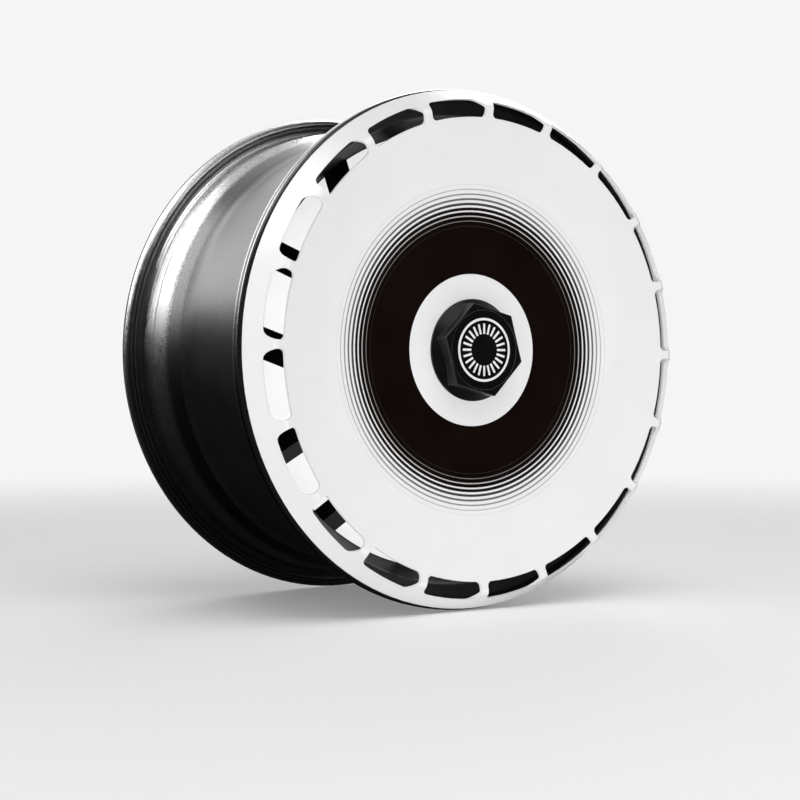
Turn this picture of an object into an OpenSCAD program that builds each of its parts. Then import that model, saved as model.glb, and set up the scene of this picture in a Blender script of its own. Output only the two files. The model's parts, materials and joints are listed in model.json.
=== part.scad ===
// Car wheel with a disc hubcap.
// The wheel turns about the Y axis. Its hub's mounting face lies at Y = 0, its front faces -Y and
// +Z is up. Every piece is drawn as it would be turned on a lathe, with z along the axis towards
// the front and z = 0 on the mounting face, and stand_up() then brings it into the model's frame.

/* [Rim] */
// Diameter of the bead seats, 19 inches nominal
bead_d = 482.6; // [460:0.1:505]
// Width between the bead faces of the two flanges, 9 inches
rim_w = 228.6; // [203:0.1:254]
// Distance from the rim's middle forward to the hub's mounting face
wheel_offset = 40; // [35:1:50]
// Thickness of a flange along the axis
flange_w = 12.7; // [11:0.1:14]
// Radius of the front flange's outer edge
flange_edge_r = 5; // [1:0.5:6]
// Radius of the front flange's edge towards the tyre
flange_bead_r = 2.5; // [1:0.5:4]
// Radius of the rear flange's edge towards the tyre
rear_bead_r = 8.5; // [4:0.5:9]
// Height of a flange above its bead seat
flange_h = 18.2; // [16:0.1:20]
// Radial width of a flange's flat face
flange_face_w = 13; // [11:0.5:15]
// Width of a bead seat
bead_w = 19.5; // [18:0.5:25]
// Fall of a bead seat from its flange to its hump
seat_fall = 1.9; // [1:0.1:3]
// Height of the safety humps above the inner end of the bead seats
hump_h = 1.5; // [0.5:0.1:2.5]
// Width of a safety hump
hump_w = 10; // [8:0.5:12]
// Depth of the well below the bead seats
well_depth = 15.3; // [13:0.1:20]
// Length of the well's front slope along the axis
front_slope = 18; // [14:1:24]
// Length of the well's long rear slope along the axis
rear_slope = 40; // [30:1:60]
// Thickness of the barrel's wall
barrel_t = 5.2; // [4.5:0.1:7.5]
// Radius at the foot of the flanges, where the tyre's bead sits
heel_r = 6.5; // [4:0.5:8]

/* [Spokes] */
// Number of repeats round the wheel, each with one pair of slots
spoke_sets = 7; // [5:1:7]
// Height of the spokes' front faces above the mounting face
spoke_face = 47.4; // [42:0.1:54]
// Depth of the spokes where they meet the barrel
spoke_depth = 38.4; // [30:0.1:44]
// Angle of the first slot seen from the front
slot_a_angle = 158.5; // [150:0.5:170]
// Width of the first slot
slot_a_w = 28; // [20:1:32]
// Distance by which the first slot's middle line passes the axis
slot_a_shift = -11.2; // [-16:0.1:-4]
// Distance of the first slot's rounded end from the axis
slot_a_in = 126; // [110:1:160]
// Angle of the second slot seen from the front
slot_b_angle = 161.4; // [155:0.1:166]
// Width of the second slot
slot_b_w = 30; // [22:1:32]
// Distance by which the second slot's middle line passes the axis
slot_b_shift = 62.4; // [58:0.1:68]
// Distance of the second slot's rounded end from the axis
slot_b_in = 146; // [136:1:170]
// Thickness of the spokes' front wall over the pockets behind them
spoke_skin = 13; // [10:0.5:18]
// Thickness of the ribs between the slots and those pockets
rib_t = 9; // [7:0.5:12]
// Distance of the pockets' inner ends from the axis
pocket_in = 92; // [88:1:110]
// Least width of a pocket at its inner end
pocket_end_w = 15; // [12:1:18]

/* [Hub] */
// Diameter of the hub pad
hub_d = 148; // [140:1:160]
// Diameter of the centre bore that fits over the car's hub
hub_bore_d = 66.6; // [60:0.1:72]
// Length of the centre bore
hub_bore_l = 15; // [12:0.5:16]
// Size of the chamfer at the bore's mouth
bore_lead = 1.5; // [1:0.5:2.5]
// Diameter of the bolt circle
bolt_pcd = 112; // [108:0.5:120]
// Number of wheel bolts
bolt_count = 5; // [4:1:6]
// Diameter of the bolt holes
bolt_hole_d = 15; // [12.5:0.1:15.5]
// Height of the bolts' conical seats above the mounting face
bolt_seat_h = 12; // [9:0.5:16]
// Diameter of the deep pockets round the bolts
bolt_pocket_d = 29; // [26:0.5:30]
// Diameter of the land that the hubcap's post is clamped to
land_d = 54; // [48:0.5:56]
// Thickness of that land
land_t = 6; // [4:0.5:8]
// Diameter of the recess in front of the land
recess_d = 60; // [58:0.5:64]
// Diameter of the valve hole
valve_d = 11.3; // [10:0.1:12]
// Thickness of the wall that is left between the valve's two flat seats
valve_seat_t = 4.5; // [3.5:0.1:5]

/* [Disc] */
// Distance from the flange's edge in to the foot of the hubcap's disc
disc_inset = 2.1; // [1:0.1:6]
// Thickness of the disc's sheet
disc_t = 3.2; // [2:0.1:4]
// Height of the disc's crest above its foot
crest_h = 30.25; // [24:0.05:36]
// Distance from the disc's foot in to the middle of its crest
flank_run = 20.9; // [17:0.1:26]
// Radius that the crest is formed with, on the outside
crest_r = 6; // [5:0.1:8]
// Height of the disc's flat middle above its foot
middle_h = 4.35; // [2:0.05:8]
// Diameter of the disc's flat middle
flat_d = 123; // [110:1:140]
// Number of windows round the rim of the disc
window_count = 20; // [16:1:24]
// Angle of the first bridge between windows, seen from the front
bridge_angle = -0.7; // [-9:0.1:9]
// Width of the bridges between windows
bridge_w = 8.5; // [6:0.5:12]
// Reach of the windows from the crest's middle in towards the axis
window_in = 8.4; // [6:0.1:14]
// Reach of the windows from the crest's middle out towards the foot
window_out = 9.7; // [8:0.1:12]
// Corner radius at the windows' inner edge
window_in_corner = 5; // [3:0.5:6]
// Corner radius at the windows' outer edge
window_out_corner = 9; // [6:0.5:9]
// Thickness of the rubber seal under the disc's foot
seal_t = 3.2; // [1:0.1:5]
// Height of the seal's lip behind the foot
seal_lip_h = 4; // [2:0.5:6]

/* [Print] */
// Radius where the black band starts
band_in_r = 75.7; // [66:0.1:84]
// Radius where the black band ends
band_out_r = 122.4; // [110:0.1:122.6]
// Middle radius of the first thin ring
ring_r = 125.3; // [125.2:0.1:130]
// Step from one thin ring to the next
ring_pitch = 4.8; // [4.6:0.1:5.2]
// Number of thin rings
ring_count = 9; // [5:1:12]
// Width of the first ring
ring_first_w = 4.3; // [3:0.1:4.4]
// Width of the last ring
ring_last_w = 0.5; // [0.4:0.1:2]
// Thickness of the printed film
film_t = 0.2; // [0.1:0.05:0.4]

/* [Post] */
// Diameter of the post's waist
post_d = 46; // [42:1:52]
// Diameter of the bore through the post
post_bore_d = 30; // [24:0.5:34]
// Diameter of the post's flange on the hub
post_flange_d = 76; // [70:1:80]
// Thickness of that flange
post_flange_t = 6; // [4:0.5:10]
// Diameter of the shoulder that carries the disc
shoulder_d = 72; // [66:1:80]
// Thickness of that shoulder
shoulder_t = 7; // [5:0.5:10]
// Diameter of the post's threaded end
thread_d = 40; // [38:0.5:44]
// Length of the threaded end in front of the disc
thread_l = 10.5; // [9:0.5:11]
// Thickness of the gasket under the post's flange
gasket_t = 1; // [0.5:0.1:2]
// Thickness of the plastic washer on the shoulder
seat_t = 0.8; // [0.5:0.1:1.5]
// Diameter of the pins that stop the disc from turning
dowel_d = 5; // [4:0.5:5.5]
// Number of those pins
dowel_count = 3; // [2:1:4]
// Thickness of the clamp ring behind the hub's land
clamp_t = 5; // [4:0.5:6]
// Diameter of the circle that the clamp screws lie on
screw_pcd = 44; // [42:0.5:45]
// Number of clamp screws
screw_count = 6; // [3:1:6]
// Diameter of the clamp screws
screw_d = 5; // [4:0.5:5]
// Length of the clamp screws
screw_l = 22; // [18:1:26]

/* [Nut] */
// Diameter of the centre nut's flange
nut_flange_d = 101.6; // [98:0.1:110]
// Height of the flange's upright edge
nut_edge_h = 1.8; // [1.2:0.1:3]
// Distance across the hexagon's corners
nut_corners = 95; // [92:0.5:97]
// Height at which the flange's cone meets the middle of a flat
nut_cone_h = 10.3; // [8:0.1:13]
// Height of the nut
nut_h = 20.1; // [19:0.1:24]
// Angle of the hexagon's first corner seen from the front
nut_angle = 46; // [0:1:60]
// Diameter of the round cap in the nut's face
cap_d = 78; // [70:0.5:79]
// Thickness of the cap
cap_t = 3; // [2:0.1:4]
// Depth of the cap's face below the nut's face
cap_sink = 0.5; // [0.2:0.1:1]
// Outer diameter of the skirt that holds the cap
skirt_d = 59; // [54:0.5:62]
// Thickness of the plastic washer under the nut
nut_washer_t = 1; // [0.6:0.1:1.5]
// Thickness of the cord that the O-ring is made of
oring_t = 2.2; // [1.8:0.1:2.6]
// Thickness of the spring wire that holds the cap
wire_t = 1.8; // [1.4:0.1:2]
// Outer radius of the ring printed on the cap
badge_r = 31.5; // [26:0.5:34]
// Number of strokes inside that ring
badge_strokes = 24; // [12:1:30]

/* [Hidden] */
$fn = 96;

// Clearances: round fits, thread flanks, glue under a film and cuts past a face
fit = 0.2;
thread_gap = 0.05;
glue_t = 0.05;
past = 1;

// Rim, front to rear
front_face = rim_w / 2 - wheel_offset + flange_w;
rear_face = front_face - rim_w - 2 * flange_w;
bead_r = bead_d / 2;
flange_r = bead_r + flange_h;
flange_in_r = flange_r - flange_face_w;
front_bead = front_face - flange_w;
rear_bead = rear_face + flange_w;
seat_end_r = bead_r - seat_fall;
well_r = bead_r - well_depth;
barrel_in_r = well_r - barrel_t;
front_hump = front_bead - bead_w - hump_w;
rear_hump = rear_bead + bead_w + hump_w;

// Hub
spoke_back = spoke_face - spoke_depth;
hub_r = hub_d / 2;
clamp_fit_r = recess_d / 2 + past;
land_back = hub_bore_l + clamp_t + 2;
land_front = land_back + land_t;
bolt_cone_w = (bolt_pocket_d - bolt_hole_d) / 2 - 2;
bolt_cone_h = bolt_cone_w / tan(30);

// Valve hole: it crosses the slope between the well and the front hump
valve_tilt = 45;
valve_at_r = (barrel_in_r + bead_r) / 2;
valve_at_z = front_hump - 1;

// Disc: one arc runs from the flat middle to the crest and touches both
foot = front_face + seal_t;
disc_face = foot + middle_h;
disc_back = disc_face - disc_t;
disc_r = flange_r - disc_inset;
crest_at_r = disc_r - flank_run;
window_in_r = crest_at_r - window_in;
window_out_r = crest_at_r + window_out;
flat_r = flat_d / 2;
dish_rise = crest_h - middle_h;
dish_run = crest_at_r - flat_r;
dish_r = (dish_run * dish_run + dish_rise * dish_rise) / (2 * dish_rise) - crest_r;
dish_at = [flat_r, disc_face + dish_r];
crest_at = [crest_at_r, foot + crest_h - crest_r];
// Angles at the crest where the dish's arc and the flank's line touch its round
dish_touch = atan2(dish_at[1] - crest_at[1], dish_at[0] - crest_at[0]);
foot_run = [disc_r - crest_at[0], foot - crest_at[1]];
flank_touch = atan2(foot_run[1], foot_run[0]) + acos(crest_r / norm(foot_run));
flank_w = disc_t / cos(flank_touch);
disc_hole_r = thread_d / 2 + fit;
// Longest straight piece of the dish's arc, and pieces round the crest
dish_step = 12;
crest_steps = 6;
edge_steps = 3;
corner_steps = 5;

// Post
post_foot = spoke_face + gasket_t;
shoulder = disc_back - seat_t;
thread_end = disc_face + thread_l;
dowel_r = (thread_d / 2 + shoulder_d / 2) / 2;
dowel_foot = shoulder - shoulder_t + 1;

// Clamp ring and its countersunk screws
clamp_back = land_back - clamp_t;
screw_tip = clamp_back + screw_l;
head_h = screw_d / 2;

// Nut
nut_base = disc_face + fit;
nut_face = nut_base + nut_h;
nut_flat_r = nut_corners / 2 * cos(30);
cap_floor = nut_face - cap_sink - cap_t;
cap_face = nut_face - cap_sink;
skirt_r = skirt_d / 2;
skirt_end = thread_end + 1;
wire_z = (skirt_end + cap_floor) / 2;
oring_z = thread_end - oring_t;
oring_r = thread_d / 2 - oring_t / 2;
washer_out_r = nut_flange_d / 2 - 2.5;

// Point at a distance and an angle from another
function from(at, r, angle) = at + r * [cos(angle), sin(angle)];

// Points along the round of radius r that eases the corner at b between a and c
function eased(a, b, c, r, steps = 6) =
    let (ba = (a - b) / norm(a - b),
         bc = (c - b) / norm(c - b),
         half = acos(ba * bc) / 2,
         run = r / tan(half),
         mid = b + (ba + bc) / norm(ba + bc) * r / sin(half),
         first = b + ba * run - mid,
         last = b + bc * run - mid,
         start = atan2(first[1], first[0]),
         turn = atan2(last[1], last[0]) - start,
         sweep = turn > 180 ? turn - 360 : turn < -180 ? turn + 360 : turn)
    [for (i = [0:steps]) from(mid, r, start + sweep * i / steps)];

// Outline through [x, y, radius] corners, each eased by its radius
function outline(corners) =
    let (n = len(corners), xy = [for (p = corners) [p[0], p[1]]])
    [for (i = [0:n - 1])
        each corners[i][2] > 0
            ? eased(xy[(i + n - 1) % n], xy[i], xy[(i + 1) % n], corners[i][2])
            : [xy[i]]];

// Turns a piece from the lathe's frame into the model's
module stand_up() {
    rotate([90, 0, 0]) children();
}

// Ring turned between two radii and two heights
module ring(in_r, out_r, low, high) {
    rotate_extrude()
        translate([in_r, low])
            square([out_r - in_r, high - low]);
}

// Straight bore or rod between two heights
module rod(r, low, high) {
    translate([0, 0, low])
        cylinder(r = r, h = high - low);
}

// Barrel, flanges and bead seats
module rim_section() {
    polygon(outline([
        [flange_in_r, front_face, 1.5],
        [flange_r, front_face, flange_edge_r],
        [flange_r, front_bead, flange_bead_r],
        [bead_r, front_bead, heel_r],
        [seat_end_r, front_bead - bead_w, 2],
        [seat_end_r + hump_h, front_bead - bead_w - hump_w / 2, 3],
        [seat_end_r - 0.5, front_hump, 3],
        [well_r, front_hump - front_slope, 12],
        [well_r, rear_hump + rear_slope, 60],
        [seat_end_r - 0.5, rear_hump, 6],
        [seat_end_r + hump_h, rear_hump - hump_w / 2, 3],
        [seat_end_r, rear_bead + bead_w, 2],
        [bead_r, rear_bead, heel_r],
        [flange_r, rear_bead, rear_bead_r],
        [flange_r, rear_face, 3],
        [flange_in_r, rear_face, 3],
        [seat_end_r - barrel_t, rear_bead, heel_r],
        [seat_end_r - barrel_t - 0.5, rear_hump - hump_w / 2, 12],
        [barrel_in_r, rear_hump + rear_slope, 60],
        [barrel_in_r, spoke_face, 0],
        [seat_end_r - barrel_t - 0.5, spoke_face + front_slope, 12],
        [seat_end_r - barrel_t, front_bead, heel_r]]));
}

// Slot of a width that starts at a rounded end and runs out through the barrel
module slot_shape(angle, shift, start, width) {
    start_x = sqrt(start * start - shift * shift);
    rotate(angle)
        translate([start_x, shift]) {
            circle(d = width);
            translate([0, -width / 2])
                square([well_r - start_x, width]);
        }
}

// Point at a radius on a line at an angle that passes the axis at a distance
function on_line(line, r) = from([0, 0], r, line[0] + asin(line[1] / r));

// First radius, from one outwards, at which two such lines are a width apart
function apart_at(low, high, width, r) =
    let (across = on_line(high, r) - on_line(low, r), side = from([0, 0], 1, low[0] + 90))
    across * side > width || r > barrel_in_r ? r : apart_at(low, high, width, r + 2);

// Blind pocket behind a spoke, between two lines that run beside the slots
module pocket_shape(low, high) {
    in_r = apart_at(low, high, pocket_end_w, pocket_in);
    out_r = barrel_in_r - rib_t;
    low_out = on_line(low, out_r);
    high_out = on_line(high, out_r);
    middle = (low_out + high_out) / norm(low_out + high_out) * out_r;
    corners = [on_line(low, in_r), low_out, middle, high_out, on_line(high, in_r)];
    polygon(outline([for (p = corners) [p[0], p[1], p == middle ? 0 : pocket_end_w / 3]]));
}

// Plate that the slots cut into spokes, and the hub at its middle
module spoke_section() {
    polygon(outline([
        [0, 0, 0],
        [hub_r, 0, 3],
        [hub_r + 6, spoke_back, 6],
        [barrel_in_r - 8, spoke_back, 0],
        [well_r - barrel_t / 2, spoke_back - 12, 0],
        [well_r - barrel_t / 2, spoke_face, 0],
        [0, spoke_face, 0]]));
}

module spokes() {
    step = 360 / spoke_sets;
    difference() {
        rotate_extrude() spoke_section();
        for (i = [0:spoke_sets - 1]) {
            rotate(i * step) {
                translate([0, 0, -hub_r])
                    linear_extrude(2 * hub_r + spoke_face) {
                        slot_shape(slot_a_angle, slot_a_shift, slot_a_in, slot_a_w);
                        slot_shape(slot_b_angle, slot_b_shift, slot_b_in, slot_b_w);
                    }
                translate([0, 0, spoke_back - past])
                    linear_extrude(spoke_depth - spoke_skin + past) {
                        pocket_shape([slot_a_angle, slot_a_shift + slot_a_w / 2 + rib_t],
                            [slot_b_angle, slot_b_shift - slot_b_w / 2 - rib_t]);
                        pocket_shape([slot_b_angle, slot_b_shift + slot_b_w / 2 + rib_t],
                            [slot_a_angle + step, slot_a_shift - slot_a_w / 2 - rib_t]);
                    }
            }
        }
    }
}

// Wheel bolt's hole, its conical seat and the pocket for a socket
module bolt_hole() {
    rod(bolt_hole_d / 2, -past, spoke_face + past);
    translate([0, 0, bolt_seat_h])
        cylinder(r1 = bolt_hole_d / 2, r2 = bolt_hole_d / 2 + bolt_cone_w, h = bolt_cone_h);
    rod(bolt_pocket_d / 2, bolt_seat_h + bolt_cone_h, spoke_face + past);
}

// Valve hole with a flat seat on each side of the wall
module valve_hole() {
    rotate(slot_b_angle + asin(slot_b_shift / barrel_in_r))
        translate([valve_at_r, 0, valve_at_z])
            rotate([0, -valve_tilt, 0]) {
                rod(valve_d / 2, -4 * barrel_t, 4 * barrel_t);
                rod(valve_d / 2 + 3, valve_seat_t / 2, 3 * barrel_t);
                rod(valve_d / 2 + 3, -3 * barrel_t, -valve_seat_t / 2);
            }
}

module wheel() {
    color([0.1, 0.1, 0.11]) stand_up() difference() {
        union() {
            rotate_extrude() rim_section();
            spokes();
        }
        rod(hub_bore_d / 2, -past, hub_bore_l);
        translate([0, 0, -past])
            cylinder(r1 = hub_bore_d / 2 + bore_lead + past, r2 = hub_bore_d / 2 - past,
                h = bore_lead + 2 * past);
        rod(clamp_fit_r, 0, land_back);
        rod(land_d / 2, 0, spoke_face + past);
        rod(recess_d / 2, land_front, spoke_face + past);
        for (i = [0:bolt_count - 1])
            rotate(90 + i * 360 / bolt_count)
                translate([bolt_pcd / 2, 0, 0]) bolt_hole();
        valve_hole();
    }
}

// Points from one radius to another along the dish's arc, lifted off the disc's front
function dish_points(in_r, out_r, lift) =
    let (steps = ceil((out_r - in_r) / dish_step))
    [for (i = [0:steps])
        let (r = in_r + (out_r - in_r) * i / steps)
        [r, dish_at[1] - sqrt(pow(dish_r - lift, 2) - pow(r - flat_r, 2))]];

// Line of the disc's front from its hole to its foot, or of a surface lifted off it
function disc_line(lift) =
    let (round_r = crest_r + lift,
         crest_in = from(crest_at, round_r, dish_touch))
    [[disc_hole_r, disc_face + lift],
     each dish_points(flat_r, crest_in[0], lift),
     for (i = [1:crest_steps])
         from(crest_at, round_r, dish_touch + (flank_touch - dish_touch) * i / crest_steps),
     [disc_r + lift / cos(flank_touch), foot]];

// Spun shell: the line of its front, and the same line one thickness behind it
module disc_section() {
    front = disc_line(0);
    back = disc_line(-disc_t);
    polygon([each front, for (i = [len(back) - 1:-1:0]) back[i]]);
}

// Middle of the round that touches a bridge's edge, where the bridge lies along the x axis
function corner_mid(mid_r, corner) =
    let (off = bridge_w / 2 + corner)
    [sqrt(mid_r * mid_r - off * off), off];

// Half a window's outline beside that bridge, from its outer edge's middle to its inner edge's
function window_side() =
    let (half_step = 180 / window_count,
         out_mid = corner_mid(window_out_r - window_out_corner, window_out_corner),
         in_mid = corner_mid(window_in_r + window_in_corner, window_in_corner),
         out_turn = atan2(out_mid[1], out_mid[0]),
         in_turn = atan2(in_mid[1], in_mid[0]))
    [for (i = [0:edge_steps - 1])
         from([0, 0], window_out_r, half_step + (out_turn - half_step) * i / edge_steps),
     for (i = [0:corner_steps])
         from(out_mid, window_out_corner, out_turn - (90 + out_turn) * i / corner_steps),
     for (i = [0:corner_steps])
         from(in_mid, window_in_corner, -90 - (90 - in_turn) * i / corner_steps),
     for (i = [1:edge_steps])
         from([0, 0], window_in_r, in_turn + (half_step - in_turn) * i / edge_steps)];

// Mirror image of a point across the line through the origin at an angle
function mirrored(p, angle) =
    [p[0] * cos(2 * angle) + p[1] * sin(2 * angle), p[0] * sin(2 * angle) - p[1] * cos(2 * angle)];

// Flat shape of one window between two bridges, the first along the x axis
module window_shape() {
    side = window_side();
    polygon([
        each side,
        for (i = [len(side) - 2:-1:1]) mirrored(side[i], 180 / window_count)]);
}

module aero_disc() {
    color([0.95, 0.95, 0.95]) stand_up() difference() {
        rotate_extrude() disc_section();
        for (i = [0:dowel_count - 1])
            rotate(i * 360 / dowel_count)
                translate([dowel_r, 0, 0])
                    rod(dowel_d / 2 + fit, disc_back - past, disc_face + past);
        for (i = [0:window_count - 1])
            rotate(bridge_angle + i * 360 / window_count)
                translate([0, 0, foot])
                    linear_extrude(crest_h + past) window_shape();
    }
}

// Printed ring that lies on the dish's arc
module film(in_r, out_r) {
    top = dish_points(in_r, out_r, glue_t + film_t);
    bottom = dish_points(in_r, out_r, glue_t);
    rotate_extrude()
        polygon([each top, for (i = [len(bottom) - 1:-1:0]) bottom[i]]);
}

module print_band() {
    color([0.08, 0.04, 0.03]) stand_up() film(band_in_r, band_out_r);
}

module print_rings() {
    color([0.08, 0.04, 0.03]) stand_up()
        for (i = [0:ring_count - 1]) {
            middle = ring_r + i * ring_pitch;
            width = ring_first_w + (ring_last_w - ring_first_w) * i / (ring_count - 1);
            film(middle - width / 2, middle + width / 2);
        }
}

// Rubber ring under the disc's foot, with a lip that leans on the flank from behind
module edge_seal() {
    lean = seal_lip_h * tan(flank_touch);
    inside = disc_r - flank_w - fit;
    color([0.05, 0.05, 0.05]) stand_up() rotate_extrude()
        polygon([
            [inside - 2, front_face],
            [disc_r - seal_t, front_face],
            [disc_r - 0.6, foot],
            [inside, foot],
            [inside - lean, foot + seal_lip_h],
            [inside - lean - 1.5, foot + seal_lip_h],
            [inside - 2, foot]]);
}

// Post between the hub and the disc
module tower() {
    color([0.6, 0.61, 0.63]) stand_up() difference() {
        rotate_extrude() polygon(outline([
            [post_bore_d / 2, land_front, 0],
            [recess_d / 2 - fit, land_front, 1],
            [recess_d / 2 - fit, post_foot, 0],
            [post_flange_d / 2, post_foot, 0.8],
            [post_flange_d / 2, post_foot + post_flange_t, 1],
            [post_d / 2, post_foot + post_flange_t, 5],
            [post_d / 2, shoulder - shoulder_t - (shoulder_d - post_d) / 2, 5],
            [shoulder_d / 2, shoulder - shoulder_t, 1],
            [shoulder_d / 2, shoulder, 0.8],
            [thread_d / 2, shoulder, 0],
            [thread_d / 2, thread_end, 0.8],
            [post_bore_d / 2, thread_end, 0.5]]));
        ring(oring_r - oring_t / 2 - thread_gap, thread_d / 2 + past,
            oring_z - oring_t / 2 - thread_gap, oring_z + oring_t / 2 + thread_gap);
        for (i = [0:dowel_count - 1])
            rotate(i * 360 / dowel_count)
                translate([dowel_r, 0, 0])
                    rod(dowel_d / 2 + thread_gap, dowel_foot, shoulder + past);
        at_screws() rod(screw_d / 2 + thread_gap, land_front - past, screw_tip + 1);
    }
}

// Puts a screw, or its hole, at each place on the clamp's circle
module at_screws() {
    for (i = [0:screw_count - 1])
        rotate((i + 0.5) * 360 / screw_count)
            translate([screw_pcd / 2, 0, 0]) children();
}

module tower_gasket() {
    color([0.12, 0.12, 0.12]) stand_up()
        ring(recess_d / 2 + fit, post_flange_d / 2 - 1, spoke_face, post_foot);
}

module clamp_ring() {
    color([0.6, 0.61, 0.63]) stand_up() difference() {
        ring(post_bore_d / 2, clamp_fit_r - fit, clamp_back, land_back);
        at_screws() {
            rod(screw_d / 2 + fit, clamp_back - past, land_back + past);
            translate([0, 0, clamp_back])
                cylinder(r1 = screw_d + fit, r2 = screw_d / 2 + fit, h = head_h);
        }
    }
}

module clamp_screws() {
    color([0.2, 0.2, 0.21]) stand_up() at_screws() difference() {
        union() {
            rod(screw_d / 2, clamp_back, screw_tip);
            translate([0, 0, clamp_back])
                cylinder(r1 = screw_d, r2 = screw_d / 2, h = head_h);
        }
        translate([0, 0, clamp_back - past])
            cylinder(d = screw_d * 0.7, h = past + head_h * 0.8, $fn = 6);
    }
}

module tower_dowels() {
    color([0.7, 0.7, 0.72]) stand_up()
        for (i = [0:dowel_count - 1])
            rotate(i * 360 / dowel_count)
                translate([dowel_r, 0, 0])
                    rod(dowel_d / 2, dowel_foot, disc_face - fit);
}

// Plastic washer on the post's shoulder, open for the thread and the pins
module disc_seat() {
    color([0.85, 0.85, 0.82]) stand_up() difference() {
        ring(disc_hole_r, shoulder_d / 2 - past, shoulder, disc_back);
        for (i = [0:dowel_count - 1])
            rotate(i * 360 / dowel_count)
                translate([dowel_r, 0, 0])
                    rod(dowel_d / 2 + fit, shoulder - past, disc_back + past);
    }
}

module nut_washer() {
    color([0.85, 0.85, 0.82]) stand_up()
        ring(disc_hole_r, washer_out_r, disc_face, disc_face + nut_washer_t);
}

module centre_nut() {
    color([0.06, 0.06, 0.06]) stand_up() difference() {
        union() {
            rotate_extrude() polygon([
                [0, nut_base],
                [nut_flange_d / 2, nut_base],
                [nut_flange_d / 2, nut_base + nut_edge_h],
                [nut_flat_r, nut_base + nut_cone_h],
                [0, nut_base + nut_cone_h]]);
            rotate(nut_angle)
                translate([0, 0, nut_base])
                    cylinder(d = nut_corners, h = nut_h, $fn = 6);
        }
        rod(washer_out_r + fit, nut_base - past, disc_face + nut_washer_t);
        rod(thread_d / 2 + thread_gap, nut_base - past, nut_face);
        rod(skirt_r + 2, thread_end + fit, nut_face);
        rod(cap_d / 2 + fit, cap_floor, nut_face + past);
        rotate_extrude()
            translate([skirt_r + 1, wire_z]) circle(d = wire_t + 2 * thread_gap);
    }
}

module nut_oring() {
    color([0.03, 0.03, 0.03]) stand_up() rotate_extrude()
        translate([oring_r, oring_z]) circle(d = oring_t);
}

module cap_insert() {
    color([0.01, 0.01, 0.01]) stand_up() difference() {
        rotate_extrude() polygon(outline([
            [0, cap_floor, 0],
            [skirt_r - 3, cap_floor, 0],
            [skirt_r - 3, skirt_end, 0],
            [skirt_r + 1.5, skirt_end, 0.5],
            [skirt_r + 1.5, cap_floor, 0],
            [cap_d / 2, cap_floor, 0],
            [cap_d / 2, cap_face, 0.6],
            [0, cap_face, 0]]));
        rotate_extrude()
            translate([skirt_r + 1, wire_z]) circle(d = wire_t + 2 * thread_gap);
    }
}

module cap_clip() {
    color([0.7, 0.7, 0.72]) stand_up() rotate_extrude()
        translate([skirt_r + 1, wire_z]) circle(d = wire_t);
}

// Plain printed motif on the cap: a ring with short strokes inside it
module cap_badge() {
    color([0.95, 0.95, 0.95]) stand_up()
        translate([0, 0, cap_face])
            linear_extrude(film_t) {
                difference() {
                    circle(r = badge_r);
                    circle(r = badge_r - 2.4);
                }
                for (i = [0:badge_strokes - 1])
                    rotate(i * 360 / badge_strokes)
                        translate([badge_r * 0.5, -1.1])
                            square([badge_r * 0.32, 2.2]);
            }
}

wheel();
aero_disc();
print_band();
print_rings();
edge_seal();
tower();
tower_gasket();
clamp_ring();
clamp_screws();
tower_dowels();
disc_seat();
nut_washer();
centre_nut();
nut_oring();
cap_insert();
cap_clip();
cap_badge();
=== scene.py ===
# %% [markdown]
# # A car wheel with its disc hubcap
# The object is an alloy wheel without a tyre. A spun aluminium disc closes its front, and a black
# hexagon nut holds the disc on a post. Every solid comes from the CAD model, at its real place and
# size in metres, so this lesson is about finishes: paint, print, anodising, rubber and turned metal,
# each built from nodes, and about light that shows them plainly.
#
# The frame: +Y runs along the wheel's axis towards the car, so the front faces -Y, and +Z is up.

# %% Load the solids
import json
import math

import bpy
import bmesh
from mathutils import Matrix, Vector


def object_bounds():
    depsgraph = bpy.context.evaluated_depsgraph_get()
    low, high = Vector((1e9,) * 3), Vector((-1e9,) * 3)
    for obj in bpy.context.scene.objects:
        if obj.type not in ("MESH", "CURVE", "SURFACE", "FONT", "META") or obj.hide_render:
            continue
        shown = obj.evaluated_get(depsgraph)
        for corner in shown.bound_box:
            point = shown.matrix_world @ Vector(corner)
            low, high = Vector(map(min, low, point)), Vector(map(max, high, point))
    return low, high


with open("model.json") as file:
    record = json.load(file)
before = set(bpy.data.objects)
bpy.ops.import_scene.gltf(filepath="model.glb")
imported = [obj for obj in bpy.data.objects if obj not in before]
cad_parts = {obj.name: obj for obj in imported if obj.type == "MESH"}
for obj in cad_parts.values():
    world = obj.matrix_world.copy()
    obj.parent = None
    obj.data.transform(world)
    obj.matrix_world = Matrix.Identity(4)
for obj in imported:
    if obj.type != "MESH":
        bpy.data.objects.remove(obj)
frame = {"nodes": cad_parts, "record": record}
solids = frame["nodes"]
cad_low, cad_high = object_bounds()
print("solids:", ", ".join(sorted(solids)))
print("CAD box in mm:", [round(1000 * v, 1) for v in (*cad_low, *cad_high)])

# %% [markdown]
# ## The casting's own measures
# The finish of the casting changes at known places: the faces of the spokes are white, the rest is
# dark, and the seats of the tyre are turned bare. These few values come from the drawing of the
# wheel, and the masks below are made from them. A `_Y` is a place along the axis, which grows
# towards the car. A `_RADIUS` is a distance from the axis.

# %% Measures in metres
BARREL_INSIDE_RADIUS = 0.2208
TYRE_SIDE_RADIUS = 0.2285
FRONT_LIP_Y = -0.0842
FRONT_FLANGE_Y = -0.070
SPOKE_FACE_Y = -0.0474
FRONT_SEAT_Y = -0.0395
REAR_HUMP_Y = (0.092, 0.134)
REAR_SEAT_Y = 0.1124
REAR_EDGE_Y = 0.1614
REAR_FACE_Y = 0.167
print("front lip to rear face:", round(REAR_FACE_Y - FRONT_LIP_Y, 4), "m")

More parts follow.
